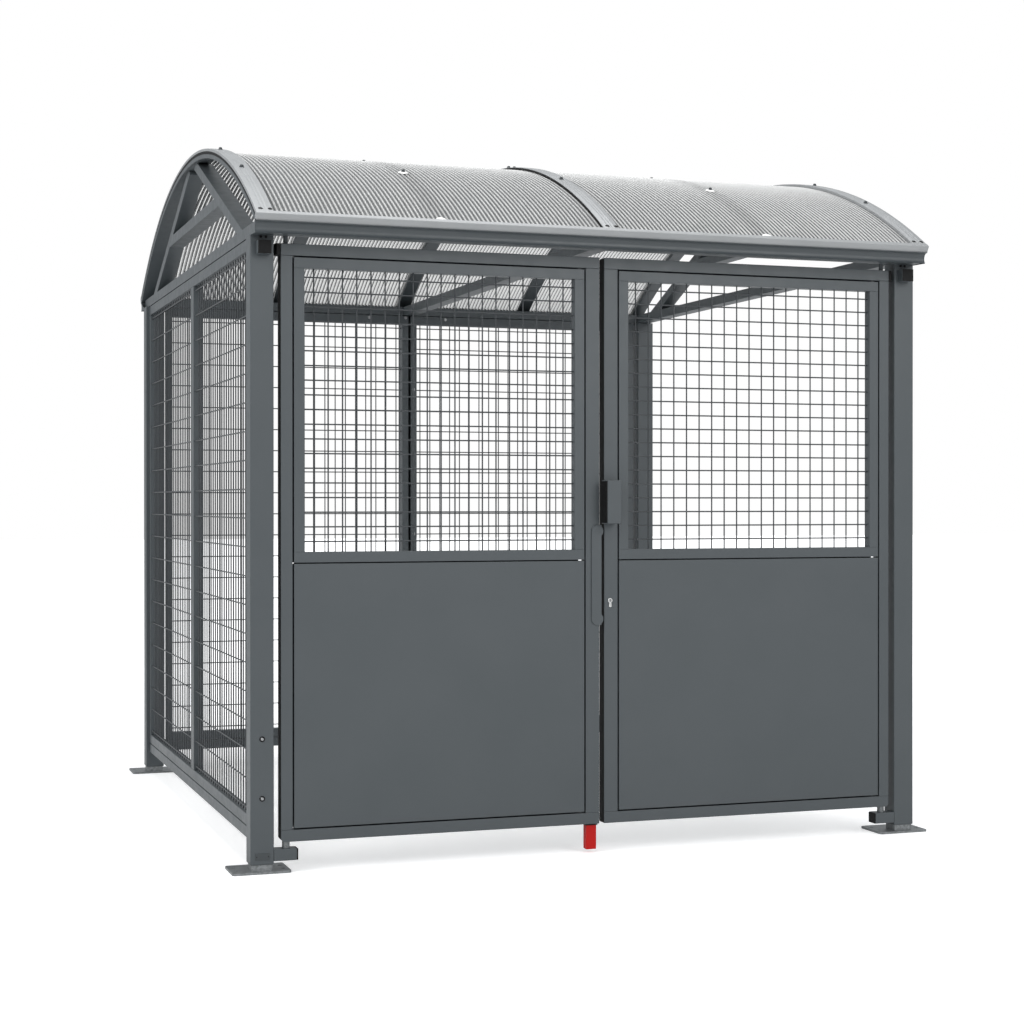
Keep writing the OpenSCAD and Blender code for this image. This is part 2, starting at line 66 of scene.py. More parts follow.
class Shader:
    """A material and the nodes in it."""

    def __init__(self, name):
        self.mat = bpy.data.materials.new(name)
        self.mat.use_nodes = True
        self.tree = self.mat.node_tree
        self.bsdf = self.tree.nodes["Principled BSDF"]
        self.out = self.tree.nodes["Material Output"]

    def add(self, kind, inputs=None, **settings):
        """Adds one node, sets its properties, and sets or links its inputs."""
        n = self.tree.nodes.new(kind)
        for key, value in settings.items():
            setattr(n, key, value)
        for key, value in (inputs or {}).items():
            if isinstance(value, bpy.types.NodeSocket):
                self.tree.links.new(value, n.inputs[key])
            else:
                n.inputs[key].default_value = value
        return n

    def set(self, **values):
        for key, value in values.items():
            socket = self.bsdf.inputs[key.replace("_", " ")]
            if isinstance(value, bpy.types.NodeSocket):
                self.tree.links.new(value, socket)
            else:
                socket.default_value = value

    def place(self, scale=(1, 1, 1)):
        """Object coordinates in metres, stretched by scale."""
        co = self.add("ShaderNodeTexCoord")
        return self.add("ShaderNodeMapping", {"Vector": co.outputs["Object"], "Scale": scale}).outputs[0]

    def noise(self, size_mm, detail=2.0, roughness=0.5, scale=(1, 1, 1)):
        """Noise whose features are size_mm across."""
        n = self.add("ShaderNodeTexNoise", {"Vector": self.place(scale), "Scale": 1000 / size_mm,
                                            "Detail": detail, "Roughness": roughness})
        return n.outputs[0]

    def span(self, value, low, high):
        """Value in 0 to 1 turned into low to high."""
        return self.add("ShaderNodeMapRange", {"Value": value, "From Min": 0.25, "From Max": 0.75,
                                               "To Min": low, "To Max": high}).outputs[0]

    def blend(self, value, dark, light):
        """Colour between two hex colours."""
        m = self.add("ShaderNodeMix", data_type="RGBA")
        self.tree.links.new(value, m.inputs[0])
        m.inputs[6].default_value = linear(dark)
        m.inputs[7].default_value = linear(light)
        return m.outputs[2]

    def bump(self, height, strength, depth_mm):
        b = self.add("ShaderNodeBump", {"Height": height, "Strength": strength, "Distance": depth_mm * MM})
        self.set(Normal=b.outputs[0])


def powder_coat(name, dark, light, rough=0.42, gloss=0.5):
    """Polyester powder coat: fine orange peel about 1.6 mm across, slight cloudiness."""
    s = Shader(name)
    s.set(Base_Color=s.blend(s.noise(240, 3), dark, light), IOR=1.5, Specular_IOR_Level=gloss,
          Roughness=s.span(s.noise(35, 3), rough - 0.05, rough + 0.06))
    s.bump(s.noise(1.6, 1), 0.08, 0.05)
    return s.mat


def galvanised_steel():
    """Hot-dip zinc: crystal flakes about 9 mm across, dull."""
    s = Shader("hot_dip_galvanised_steel")
    cells = s.add("ShaderNodeTexVoronoi", {"Vector": s.place(), "Scale": 110.0, "Randomness": 1.0})
    grey = s.add("ShaderNodeSeparateColor", {"Color": cells.outputs["Color"]}).outputs[0]
    s.set(Base_Color=s.blend(grey, "6a6d6e", "8b8e8f"), Metallic=0.6, IOR=1.5,
          Roughness=s.span(grey, 0.42, 0.58))
    s.bump(s.noise(3, 2), 0.1, 0.08)
    return s.mat


def rolled_aluminium():
    """Mill-finish strip: rolling lines along the arc and along the eave."""
    s = Shader("rolled_aluminium_strip")
    s.set(Base_Color=s.blend(s.noise(160, 3), "8c8e8f", "9c9e9f"), Metallic=0.3, IOR=1.5,
          Roughness=s.span(s.noise(14, 4), 0.38, 0.5))
    s.bump(s.noise(1.2, 1, scale=(1, 0.05, 1)), 0.05, 0.03)
    return s.mat


def polycarbonate(name, see_through, milky_share, dark, light_grey, phase, level, slant_from):
    """Corrugated sheet about 1 mm thick: clear and slightly milky seen square on. The part of each wave where
    sin(2 pi x / pitch + phase) is over level turns grey: painted shade on that part of the wave, stronger at a slant,
    where the way through the sheet is longer."""
    s = Shader(name)
    s.set(Base_Color=s.blend(s.noise(60, 2), dark, light_grey), IOR=1.585,
          Roughness=s.span(s.noise(40, 2), 0.22, 0.3))
    milky = s.add("ShaderNodeBsdfTranslucent", {"Color": linear("f6f6f5")})
    white = s.add("ShaderNodeBsdfDiffuse", {"Color": linear("f2f2f1")})
    body = s.add("ShaderNodeMixShader", {0: 1 - milky_share, 1: milky.outputs[0], 2: white.outputs[0]})
    clear = s.add("ShaderNodeBsdfTransparent", {"Color": linear("fcfcfc")})
    light = s.add("ShaderNodeMixShader", {0: see_through, 1: body.outputs[0], 2: clear.outputs[0]})
    x = s.add("ShaderNodeSeparateXYZ", {"Vector": s.place()}).outputs[0]
    turn = s.add("ShaderNodeMath", {0: x, 1: 2 * math.pi / PITCH, 2: phase},
                 operation="MULTIPLY_ADD").outputs[0]
    wave = s.add("ShaderNodeMath", {0: turn}, operation="SINE").outputs[0]
    painted_wave_shade = s.add("ShaderNodeMapRange", {"Value": wave, "From Min": level - 0.25,
                                           "From Max": level + 0.25}).outputs[0]
    facing = s.add("ShaderNodeLayerWeight", {"Blend": 0.5}).outputs["Facing"]
    slant = s.add("ShaderNodeMapRange", {"Value": facing, "From Min": slant_from,
                                         "From Max": slant_from + 0.16}).outputs[0]
    grey = s.add("ShaderNodeMath", {0: painted_wave_shade, 1: slant}, operation="MULTIPLY").outputs[0]
    mix = s.add("ShaderNodeMixShader", {0: grey, 1: light.outputs[0], 2: s.bsdf.outputs[0]})
    s.tree.links.new(mix.outputs[0], s.out.inputs[0])
    return s.mat


def moulded(name, dark, light, rough, gloss=0.5):
    """Injection-moulded plastic with a fine grain about 0.8 mm across."""
    s = Shader(name)
    s.set(Base_Color=s.blend(s.noise(90, 2), dark, light), IOR=1.5, Specular_IOR_Level=gloss,
          Roughness=s.span(s.noise(12, 2), rough, rough + 0.1))
    s.bump(s.noise(0.8, 1), 0.1, 0.04)
    return s.mat


def plated(name, dark, light, rough):
    """Bright zinc or stainless steel with fine turning marks."""
    s = Shader(name)
    s.set(Base_Color=s.blend(s.noise(25, 2), dark, light), Metallic=1.0, IOR=2.5,
          Roughness=s.span(s.noise(5, 2), rough, rough + 0.12))
    s.bump(s.noise(0.5, 1), 0.05, 0.02)
    return s.mat


GREY = powder_coat("slate_grey_powder_coat", "3f4548", "464b4e")
# darker copy of the slate grey coat for the wires: painted shade, since the wires carry the same paint as the frame
WIRE_SHADED_GREY = powder_coat("slate_grey_powder_coat_darkened_on_wire", "2a2e31", "313538")
# darker copy of the slate grey coat for the strips behind the leaves' shadow joint: painted shade
GREY_SHADED_RECESS = powder_coat("slate_grey_powder_coat_darkened_for_recess_shade", "1d2022", "24282a", 0.6)
RED = powder_coat("signal_red_powder_coat", "a8100c", "b81612", 0.42, 0.2)
ZINC = galvanised_steel()
STRIP = rolled_aluminium()
# the grey part of each wave is painted shade: in the troughs on the outer face, on one flank on the inner face
SHEET = polycarbonate("corrugated_polycarbonate_outer_face", see_through=0.3, milky_share=0.5,
                      dark="545656", light_grey="626464", phase=4.19, level=0.2, slant_from=0.28)
SHEET_INSIDE = polycarbonate("corrugated_polycarbonate_inner_face", see_through=0.92, milky_share=0.6,
                             dark="2c2f30", light_grey="383b3c", phase=0.0, level=0.5, slant_from=0.48)
BLACK = moulded("black_polyamide", "0b0b0b", "121212", 0.55, 0.2)
WHITE = moulded("white_polyamide_washer", "dcdcda", "eeeeec", 0.4)
SCREW = plated("zinc_plated_screw", "8e8f90", "b9babb", 0.25)
DARK_CAP = moulded("dark_grey_screw_cap", "2f3335", "3a3f42", 0.4)
KEY = plated("nickel_plated_lock", "d8d8d6", "f0f0ee", 0.12)

SLOT_MATERIAL = {
    "grey_paint": GREY, "galvanised": ZINC, "trim_aluminium": STRIP, "roof_sheet": SHEET,
    "black_plastic": BLACK, "red_paint": RED,
}


# ---------- making pieces ----------

def piece(name, verts, faces, mat, body, replaces=(), sharp=32, record_slot=None):
    """Mesh object at the origin, riding on a body."""
    me = bpy.data.meshes.new(name)
    me.from_pydata([tuple(v) for v in verts], [], [tuple(f) for f in faces])
    me.update()
    me.materials.append(mat)
    me.shade_smooth()
    me.set_sharp_from_angle(angle=math.radians(sharp))
    ob = bpy.data.objects.new(name, me)
    bpy.context.scene.collection.objects.link(ob)
    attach(ob, body)
    if replaces:
        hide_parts(*([replaces] if isinstance(replaces, str) else replaces))
    return ob


def soften(ob, radius, segments=3):
    """Rounds the edges of a piece."""
    b = ob.modifiers.new("edges", "BEVEL")
    b.width = radius
    b.segments = segments
    b.limit_method = "ANGLE"
    b.angle_limit = math.radians(40)
    b.harden_normals = True
    return ob


BOX_FACES = [(0, 2, 3, 1), (4, 5, 7, 6), (0, 1, 5, 4), (2, 6, 7, 3), (0, 4, 6, 2), (1, 3, 7, 5)]


def bars(name, boxes, mat, body, radius=2.5 * MM, **kw):
    """Straight bars, each from its lowest to its highest corner, with rounded edges."""
    verts, faces = [], []
    for lo, hi in boxes:
        n = len(verts)
        for z in (lo[2], hi[2]):
            for y in (lo[1], hi[1]):
                for x in (lo[0], hi[0]):
                    verts.append((x, y, z))
        faces += [tuple(n + i for i in f) for f in BOX_FACES]
    return soften(piece(name, verts, faces, mat, body, **kw), radius)


def prism(name, outline, a, b, mat, body, along="Y", radius=0.0, **kw):
    """Outline pushed from a to b along an axis. The outline holds (x, z) for Y and (y, z) for X."""
    n = len(outline)
    verts = [(u, w, v) if along == "Y" else (w, u, v) for w in (a, b) for u, v in outline]
    faces = [tuple(range(n))[::-1], tuple(range(n, 2 * n))]
    faces += [(i, (i + 1) % n, n + (i + 1) % n, n + i) for i in range(n)]
    ob = piece(name, verts, faces, mat, body, **kw)
    fix_normals(ob)
    return soften(ob, radius) if radius else ob


def fix_normals(ob):
    """Turns a closed piece's faces outward."""
    bm = bmesh.new()
    bm.from_mesh(ob.data)
    bmesh.ops.recalc_face_normals(bm, faces=bm.faces)
    bm.to_mesh(ob.data)
    bm.free()
    ob.data.update()


def rods(name, lines, radius, mat, body, sides=10, **kw):
    """Round wires between pairs of points, with flat ends."""
    verts, faces = [], []
    for p, q in lines:
        p, q = Vector(p), Vector(q)
        run = (q - p).normalized()
        side = run.orthogonal().normalized()
        up = run.cross(side)
        n = len(verts)
        for end in (p, q):
            for i in range(sides):
                a = 2 * math.pi * (i + 0.5) / sides
                verts.append(end + radius * (math.cos(a) * side + math.sin(a) * up))
        faces += [(n + i, n + (i + 1) % sides, n + sides + (i + 1) % sides, n + sides + i) for i in range(sides)]
        faces += [tuple(n + i for i in range(sides))[::-1], tuple(n + sides + i for i in range(sides))]
    return piece(name, verts, faces, mat, body, sharp=50, **kw)


def lathe(name, profile, spots, mat, body, sides=28, **kw):
    """Turned parts. profile: (radius, height) from the bottom axis to the top axis; spots: (point, direction)."""
    verts, faces = [], []
    for point, direction in spots:
        point, up = Vector(point), Vector(direction).normalized()
        side = up.orthogonal().normalized()
        other = up.cross(side)
        rings = []
        for r, h in profile:
            if r < 1e-7:
                rings.append([len(verts)])
                verts.append(point + h * up)
            else:
                rings.append(list(range(len(verts), len(verts) + sides)))
                for i in range(sides):
                    a = 2 * math.pi * i / sides
                    verts.append(point + h * up + r * (math.cos(a) * side + math.sin(a) * other))
        for a, b in zip(rings, rings[1:]):
            for i in range(sides):
                j = (i + 1) % sides
                if len(a) == 1 and len(b) > 1:
                    faces.append((a[0], b[j], b[i]))
                elif len(b) == 1 and len(a) > 1:
                    faces.append((a[i], a[j], b[0]))
                elif len(a) > 1:
                    faces.append((a[i], a[j], b[j], b[i]))
    ob = piece(name, verts, faces, mat, body, sharp=35, **kw)
    fix_normals(ob)
    return ob


# ---------- the frame's own sizes ----------

def low(node):
    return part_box(node)[0]


def high(node):
    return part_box(node)[1]


POST = "post_front_left"
HALF_W, HALF_D = -low(POST).x, -low(POST).y
POST_TOP = high(POST).z
POST_W = high(POST).x - low(POST).x

ROOF_TOP = high("joint_cover").z


def roof_circle():
    """Circle about X through the crown and the roof's lower edge: chord 2c and rise s give (c^2 + s^2) / 2s."""
    edge = [v.co for v in frame["nodes"]["edge_trim_front"].data.vertices]
    outer = min(edge, key=lambda v: v.y)
    c, s = -outer.y, ROOF_TOP - outer.z
    r = (c * c + s * s) / (2 * s)
    return r, ROOF_TOP - r, math.asin(c / r)


TOP_R, AXIS_Z, ROOF_HALF = roof_circle()


def on_roof(x, r, a):
    """Point at radius r, a radians from the crown towards the back."""
    return (x, r * math.sin(a), AXIS_Z + r * math.cos(a))


def arc_sweep(name, outline, half, mat, body, steps=96, **kw):
    """Closed outline of (x, radius) swept along the roof's arc, half radians to each side."""
    n = len(outline)
    verts = [on_roof(x, r, -half + 2 * half * k / steps) for k in range(steps + 1) for x, r in outline]
    faces = []
    for k in range(steps):
        for i in range(n):
            j = (i + 1) % n
            faces.append((k * n + i, k * n + j, (k + 1) * n + j, (k + 1) * n + i))
    faces += [tuple(range(n))[::-1], tuple(range(steps * n, (steps + 1) * n))]
    ob = piece(name, verts, faces, mat, body, **kw)
    fix_normals(ob)
    return ob


def rounded(x0, x1, r0, r1, c):
    """Rectangle with cut corners."""
    return [(x0 + c, r0), (x1 - c, r0), (x1, r0 + c), (x1, r1 - c),
            (x1 - c, r1), (x0 + c, r1), (x0, r1 - c), (x0, r0 + c)]


# ---------- roof ----------

def low_radius(node):
    """Smallest distance of a ring node from the roof's axis."""
    return min(math.hypot(v.co.y, v.co.z - AXIS_Z) for v in frame["nodes"][node].data.vertices)


def arc_span(node):
    """Inner and outer radius of a ring node, the outer one read at its crown."""
    return low_radius(node), high(node).z - AXIS_Z


def half_angle(node):
    """Angle from the crown to the end of a ring node."""
    return max(abs(math.atan2(v.co.y, v.co.z - AXIS_Z)) for v in frame["nodes"][node].data.vertices)


RIB_IN, RIB_OUT = arc_span("arch_left")
RIB_HALF = half_angle("arch_left")
RIB_W = high("arch_left").x - low("arch_left").x
rib_x = [low("arch_left").x, low("arches_mid_bay").x, low("arch_middle").x,
         high("arches_mid_bay").x - RIB_W, low("arch_right").x]
rib_nodes = ["arch_left", None, "arch_middle", "arches_mid_bay", "arch_right"]
for i, (x, node) in enumerate(zip(rib_x, rib_nodes)):
    kw = {"replaces": node, "record_slot": "grey_paint"} if node else {}
    arc_sweep("rib_%d" % (i + 1), rounded(x, x + RIB_W, RIB_IN, RIB_OUT, 1.5 * MM), RIB_HALF, GREY, "shelter", **kw)

SHEET_IN, SHEET_OUT = arc_span("roof_sheet_left")
SHEET_HALF = half_angle("roof_sheet_left")
SHEET_T = 1.0 * MM


def corrugated(node, x0, x1):
    """Thin sheet r(x) = middle + h/2 cos(2 pi x / pitch), swept along the arc, two skins joined at the rims."""
    per_wave, rows = 8, 56
    cols = max(2, round((x1 - x0) / PITCH * per_wave))
    middle, h = (SHEET_IN + SHEET_OUT) / 2, SHEET_OUT - SHEET_IN - SHEET_T
    x = np.linspace(x0, x1, cols + 1)
    a = np.linspace(-SHEET_HALF, SHEET_HALF, rows + 1)
    wave = middle + h / 2 * np.cos(2 * math.pi * x / PITCH)
    grids = []
    for off in (SHEET_T / 2, -SHEET_T / 2):
        r = wave + off
        gx = np.broadcast_to(x, (rows + 1, cols + 1))
        gy = np.sin(a)[:, None] * r[None, :]
        gz = AXIS_Z + np.cos(a)[:, None] * r[None, :]
        grids.append(np.stack([gx, gy, gz], -1).reshape(-1, 3))
    verts = np.concatenate(grids)
    w, n = cols + 1, (rows + 1) * (cols + 1)
    i = (np.arange(rows)[:, None] * w + np.arange(cols)[None, :]).ravel()
    top = np.stack([i, i + 1, i + w + 1, i + w], 1)
    quads = [top, (top + n)[:, ::-1]]
    e = np.arange(cols)
    for row, flip in ((0, False), (rows, True)):
        k = row * w + e
        q = np.stack([k, k + n, k + n + 1, k + 1], 1)
        quads.append(q[:, ::-1] if flip else q)
    e = np.arange(rows)
    for col, flip in ((0, True), (cols, False)):
        k = e * w + col
        q = np.stack([k, k + n, k + n + w, k + w], 1)
        quads.append(q[:, ::-1] if flip else q)
    quads = np.concatenate(quads)
    me = bpy.data.meshes.new(node + "_corrugated")
    me.vertices.add(len(verts))
    me.vertices.foreach_set("co", verts.ravel().astype(np.float32))
    me.loops.add(quads.size)
    me.loops.foreach_set("vertex_index", quads.ravel().astype(np.int32))
    me.polygons.add(len(quads))
    me.polygons.foreach_set("loop_start", np.arange(0, quads.size, 4, dtype=np.int32))
    me.update(calc_edges=True)
    me.materials.append(SHEET)
    me.materials.append(SHEET_INSIDE)
    skin = np.zeros(len(quads), dtype=np.int32)
    skin[len(top):2 * len(top)] = 1
    me.polygons.foreach_set("material_index", skin)
    me.shade_smooth()
    me.set_sharp_from_angle(angle=math.radians(70))
    ob = bpy.data.objects.new(node + "_corrugated", me)
    bpy.context.scene.collection.objects.link(ob)
    fix_normals(ob)
    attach(ob, "shelter")
    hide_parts(node)


for node in ("roof_sheet_left", "roof_sheet_right"):
    corrugated(node, low(node).x, high(node).x)

STRIP_HALF = half_angle("joint_cover")
STRIP_W = high("joint_cover").x - low("joint_cover").x
LIP_R = low_radius("joint_cover")


def strip_outline(x0):
    """Rolled strip with a lip at each edge and three low ribs along it."""
    skin, rib = 2.5 * MM, 0.8 * MM
    w = STRIP_W
    top = [(0.0, TOP_R - 2.5 * MM), (0.8 * MM, TOP_R - 1.2 * MM), (2.5 * MM, TOP_R - rib)]
    for c in (w * 0.3, w * 0.5, w * 0.7):
        for dx, up in ((-3.4, 0), (-2.0, 0.75), (-0.8, 1.0), (0.8, 1.0), (2.0, 0.75), (3.4, 0)):
            top.append((c + dx * MM, TOP_R - rib + up * rib))
    top += [(w - 2.5 * MM, TOP_R - rib), (w - 0.8 * MM, TOP_R - 1.2 * MM), (w, TOP_R - 2.5 * MM)]
    lip, inside = 2 * MM, TOP_R - rib - skin
    under = [(w, LIP_R), (w - lip, LIP_R), (w - lip, inside), (lip, inside), (lip, LIP_R), (0, LIP_R)]
    return [(x0 + x, r) for x, r in top + under]


for node in ("end_trim_left", "joint_cover", "end_trim_right"):
    arc_sweep(node + "_strip", strip_outline(low(node).x), STRIP_HALF, STRIP, "shelter",
              replaces=node, record_slot="trim_aluminium", sharp=28)


def wave_end_shade(name, sign):
    """Black strip under the lower end of the sheets, painted shade in the waves where they meet the eave: from the
    ribs' outer radius up to r(x) = sheet middle + h/2 cos(2 pi x / pitch), less most of the sheet's thickness."""
    end_gap, length = 0.0003, 0.004     # radians
    a1 = sign * (SHEET_HALF - end_gap)
    a0 = a1 - sign * length
    reach = HALF_W - 11 * MM
    xs = np.arange(-reach, reach, PITCH / 8)
    middle, half_wave = (SHEET_IN + SHEET_OUT) / 2, (SHEET_OUT - SHEET_IN) / 2
    low_r = np.full(len(xs), RIB_OUT + 0.1 * MM)
    high_r = np.maximum(middle + half_wave * np.cos(2 * math.pi * xs / PITCH) - 0.9 * MM, low_r + 0.1 * MM)
    verts, faces = [], []
    for x, lo_r, hi_r in zip(xs, low_r, high_r):
        verts += [on_roof(x, r, a) for r, a in ((lo_r, a0), (hi_r, a0), (hi_r, a1), (lo_r, a1))]
    for i in range(len(xs) - 1):
        for k in range(4):
            faces.append((4 * i + k, 4 * i + (k + 1) % 4, 4 * i + 4 + (k + 1) % 4, 4 * i + 4 + k))
    n = 4 * (len(xs) - 1)
    faces += [(0, 3, 2, 1), (n, n + 1, n + 2, n + 3)]
    fix_normals(piece(name, verts, faces, BLACK, "shelter"))


wave_end_shade("sheet_end_shade_front", -1)
wave_end_shade("sheet_end_shade_back", 1)


def arc_shade_strip(name, x0, x1, r0, r1):
    """Black strip along the arc, painted shade."""
    arc_sweep(name, [(x0, r0), (x1, r0), (x1, r1), (x0, r1)], STRIP_HALF, BLACK, "shelter")


# black strips as painted shade: in the recess under each end trim, and along both edges of the joint cover, on the
# lips' sides
for side in (-1, 1):
    x = sorted((side * (HALF_W - 2 * MM), side * (HALF_W - 4 * MM)))
    arc_shade_strip("end_seal_%s" % ("left" if side < 0 else "right"), x[0], x[1], SHEET_IN, LIP_R + 2 * MM)
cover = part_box("joint_cover")
for side, x in ((-1, cover[0].x), (1, cover[1].x)):
    x = sorted((x - side * 2.2 * MM, x + side * 0.4 * MM))
    arc_shade_strip("joint_seal_%s" % ("left" if side < 0 else "right"), x[0], x[1], LIP_R - 0.2 * MM, TOP_R - 2.6 * MM)

# edge trims: a bar on the eave's ledge, stepped over the ends of the ribs; points are (radius, angle)
for node, side in (("edge_trim_front", -1), ("edge_trim_back", 1)):
    start, end = STRIP_HALF, ROOF_HALF
    foot_r = low_radius(node)
    foot_a = max(RIB_HALF, STRIP_HALF) + 0.0001
    section = [(TOP_R, start), (TOP_R, end - 0.0004), (TOP_R - 1.2 * MM, end), (foot_r, end), (foot_r, foot_a),
               (SHEET_IN, foot_a), (SHEET_IN, start)]
    outline = [(side * r * math.sin(a), AXIS_Z + r * math.cos(a)) for r, a in section]
    prism(node + "_lip", outline, -HALF_W, HALF_W, STRIP, "shelter", along="X",
          replaces=node, record_slot="trim_aluminium")

# eaves: points are (distance out from the posts' face, z). The coved face is an arc of radius COVE_R about
# (COVE_Y, COVE_Z), with a ledge over it. The end caps stand 1 mm proud of the cove.
CAP_T = 2.5 * MM
COVE_R, COVE_Y, COVE_Z = 22.6 * MM, 107 * MM, POST_TOP + 7 * MM
COVE_DROP = 16 * MM
for node, side in (("eave_front", -1), ("eave_back", 1)):
    top, bottom = high(node).z, low(node).z
    ledge_z = top - 2 * MM
    start, end = -math.asin(COVE_DROP / COVE_R), math.asin((ledge_z - COVE_Z) / COVE_R)
    turns = [start + (end - start) * k / 20 for k in range(21)]
    cove = [(COVE_Y - COVE_R * math.cos(a), COVE_Z + COVE_R * math.sin(a)) for a in turns]
    outline = [(0, POST_TOP), (0, bottom + 3 * MM), (88 * MM, bottom + 3 * MM), (89 * MM, COVE_Z - COVE_DROP)] + cove
    outline += [(111 * MM, ledge_z), (112 * MM, top - 1 * MM), (111.4 * MM, top), (80 * MM, top),
                (80 * MM, POST_TOP)]
    outline = [(side * (HALF_D + d), z) for d, z in outline]
    prism(node + "_profile", outline, -HALF_W + CAP_T, HALF_W - CAP_T, GREY, "shelter", along="X",
          replaces=node, record_slot="grey_paint", sharp=25)
    cap = [(0, POST_TOP + 2 * MM), (0, bottom + 1.5 * MM), (90 * MM, COVE_Z - COVE_DROP - 1 * MM)]
    cap += [(d + 1 * MM, z) for d, z in cove]
    cap += [(113 * MM, top - 1 * MM), (80 * MM, top + 0.2 * MM), (40 * MM, POST_TOP + 10 * MM)]
    cap = [(side * (HALF_D + d), z) for d, z in cap]
    for s, end_name in ((-1, "left"), (1, "right")):
        x = sorted((s * HALF_W, s * (HALF_W - CAP_T)))
        prism("%s_end_cap_%s" % (node, end_name), cap, x[0], x[1], GREY, "shelter", along="X", radius=0.6 * MM)

# roof screws, as angles from the crown: pointed caps on every rib, a washer with a hexagon on the two ribs between,
# white washers at their feet, and a pair of flat screws at each foot of the strips
CAP_A, MID_A, END_A, END_B = (math.radians(v) for v in (6.2, 18.9, 12.0, 21.4))
WHITE_A, STRIP_FOOT_A = SHEET_HALF - 0.008, STRIP_HALF - 0.006
PAIR = 12 * MM          # half the distance of two caps side by side on the joint cover
FOOT_PAIR = 16 * MM     # and of two flat screws at the foot of a strip
caps, star, white, foot_screws = [], [], [], []


def screw_spot(x, r, a):
    """Point on the roof and the direction square to it."""
    return on_roof(x, r, a), (0, math.sin(a), math.cos(a))


for i, x in enumerate(rib_x):
    c = x + RIB_W / 2
    for s in (-1, 1):
        if i in (0, 4):
            caps += [screw_spot(c, TOP_R, s * a) for a in (END_A, END_B)]
        elif i == 2:
            caps += [screw_spot(c + dx, TOP_R, s * CAP_A) for dx in (-PAIR, PAIR)]
            caps.append(screw_spot(c, TOP_R, s * MID_A))
        else:
            caps.append(screw_spot(c, SHEET_OUT + 1 * MM, s * CAP_A))
            star.append(screw_spot(c, SHEET_OUT + 1.5 * MM, s * MID_A))
            white.append(screw_spot(c, SHEET_OUT + 1 * MM, s * WHITE_A))
dome = [(0, -4 * MM), (9 * MM, -4 * MM), (9 * MM, 0), (8.4 * MM, 1 * MM), (6.8 * MM, 1.6 * MM), (6.4 * MM, 5 * MM),
        (4.6 * MM, 8 * MM), (0, 9 * MM)]
lathe("roof_screw_caps", dome, caps, DARK_CAP, "shelter")
dish = [(0, -2 * MM), (19 * MM, -2 * MM), (19 * MM, -0.5 * MM), (16 * MM, 1.6 * MM), (5 * MM, 3 * MM), (0, 3 * MM)]
lathe("roof_washers", dish, star + white, WHITE, "shelter")
hexagon = [(0, 2 * MM), (6.5 * MM, 2 * MM), (6.5 * MM, 8 * MM), (4.5 * MM, 11 * MM), (0, 12 * MM)]
lathe("roof_washer_screws", hexagon, star, DARK_CAP, "shelter", sides=6)
for x in (rib_x[0], rib_x[2], rib_x[4]):
    shift = 5 * MM if x < 0 else 0      # on the left and middle strips
    for dx in (-FOOT_PAIR, FOOT_PAIR):
        for s in (-1, 1):
            foot_screws.append(screw_spot(x + RIB_W / 2 + dx + shift, TOP_R - 0.8 * MM, s * STRIP_FOOT_A))
flat = [(0, -1 * MM), (8 * MM, -1 * MM), (8 * MM, 0.6 * MM), (5.5 * MM, 1.9 * MM), (0, 2.2 * MM)]
lathe("strip_screws", flat, foot_screws, BLACK, "shelter")


# ---------- walls ----------

WIRE_R = 2.5 * MM


def positions(edge0, edge1, pitch, first):
    """Wires from edge0 + first, a pitch apart, up to 8 mm short of edge1."""
    out, v = [], edge0 + first
    while v < edge1 - 8 * MM:
        out.append(v)
        v += pitch
    return out


def mesh_wires(node, body, normal, us, zs, front):
    """Upright wires at us and level wires at zs; front says on which side the level wires lie."""
    lo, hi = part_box(node)
    mid = (lo[normal] + hi[normal]) / 2
    step = WIRE_R * 0.93    # the wires are pressed into each other where they are welded
    grow = 6 * MM           # and their ends reach into the frame
    level_axis = 0 if normal == 1 else 1

    def at(u, z, off):
        return (u, mid + off, z) if normal == 1 else (mid + off, u, z)

    lines = [(at(u, lo.z - grow, -front * step), at(u, hi.z + grow, -front * step)) for u in us]
    lines += [(at(lo[level_axis] - grow, z, front * step), at(hi[level_axis] + grow, z, front * step)) for z in zs]
    # the wires wear the darkened copy of the coat: painted shade
    rods(node + "_wires", lines, WIRE_R, WIRE_SHADED_GREY, body, replaces=node, record_slot="grey_paint")


GRID = 50 * MM
WALL_RISE, WALL_FIRST = 100 * MM, 17 * MM
for node in ("side_mesh_front", "side_mesh_back"):
    lo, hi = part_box(node)
    levels = positions(lo.z, hi.z, WALL_RISE, WALL_FIRST)
    mesh_wires(node, "shelter", 0, positions(lo.y, hi.y, GRID, GRID / 2), levels, -1)
for node in ("back_mesh_left", "back_mesh_right"):
    lo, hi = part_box(node)
    us = positions(lo.x, hi.x, GRID, GRID / 2)
    if lo.x > 0:
        us = [-u for u in positions(-hi.x, -lo.x, GRID, GRID / 2)]
    mesh_wires(node, "shelter", 1, us, positions(lo.z, hi.z, WALL_RISE, WALL_FIRST), -1)


def framed(node, name, opening, uprights, body, normal, radius=2.2 * MM):
    """Frame of bars: rails run through, uprights stand between them. opening: the mesh nodes inside."""
    lo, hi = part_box(node)
    mlo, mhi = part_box(opening[0])[0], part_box(opening[-1])[1]
    boxes = [(tuple(lo), (hi.x, hi.y, mlo.z)), ((lo.x, lo.y, mhi.z), tuple(hi))]
    for a, b in uprights:
        if normal == 1:
            boxes.append(((a, lo.y, mlo.z), (b, hi.y, mhi.z)))
        else:
            boxes.append(((lo.x, a, mlo.z), (hi.x, b, mhi.z)))
    bars(name, boxes, GREY, body, radius=radius, replaces=node, record_slot="grey_paint")


